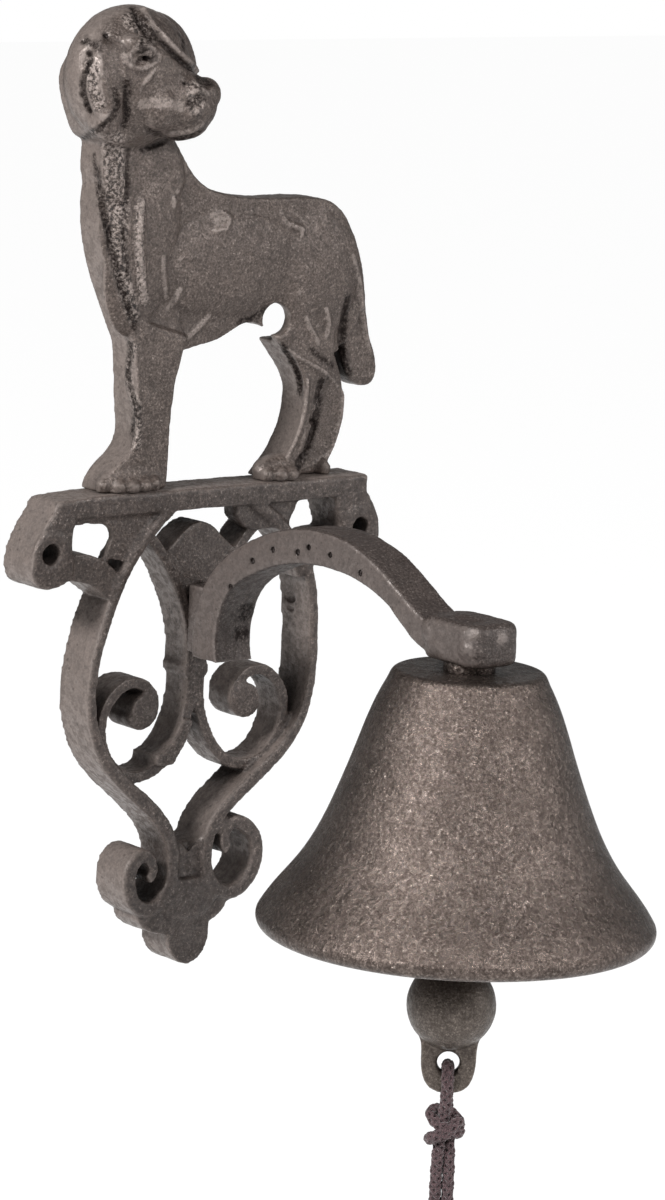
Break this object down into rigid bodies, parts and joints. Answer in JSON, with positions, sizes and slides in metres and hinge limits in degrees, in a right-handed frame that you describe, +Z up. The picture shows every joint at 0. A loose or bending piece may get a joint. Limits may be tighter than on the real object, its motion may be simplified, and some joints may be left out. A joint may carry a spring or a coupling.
{
  "type": "wall-mounted cast iron doorbell",
  "caption": "Cast iron wall bell: a dog on a shelf over lyre scrollwork, a curved arm carrying a flared bell, and a swinging clapper pulled by a doubled cord.",
  "frame": {"origin": "on the wall plane, midway between the two screw holes", "axes": "+Z up, -Y out of the wall towards the front, +X to the right seen from the front"},
  "size_m": [0.1169, 0.168, 0.3565],
  "materials": {
    "cast_bracket": "dark brown antique coating on sand-cast iron",
    "cast_arm": "dark brown antique coating on sand-cast iron",
    "cast_bell": "dark brown antique coating with a faint sheen",
    "cast_clapper": "dark brown antique coating with a faint sheen",
    "dark_steel": "dulled dark steel",
    "braided_cord": "dark brown braided cord"
  },
  "bodies": {
    "bracket_and_bell": {"bracket": "cast_bracket", "arm": "cast_arm", "arm_screw": "dark_steel", "bell": "cast_bell", "hanger_eye_bolt": "dark_steel", "hanger_washer": "dark_steel", "hanger_nut": "dark_steel"},
    "link": {"clapper_link": "dark_steel"},
    "clapper": {"clapper": "cast_clapper", "pull_cord": "braided_cord", "cord_knot": "braided_cord", "cord_end_knot": "braided_cord"}
  },
  "joints": [
    {"name": "link_swing", "type": "hinge", "parent": "bracket_and_bell", "child": "link", "pos_m": [0, -0.118, -0.038], "axis": [0.766, -0.6428, 0], "range_deg": [-20, 20]},
    {"name": "clapper_swing", "type": "hinge", "parent": "link", "child": "clapper", "pos_m": [0, -0.118, -0.05058], "axis": [0.6428, 0.766, 0], "range_deg": [-24, 24]}
  ]
}
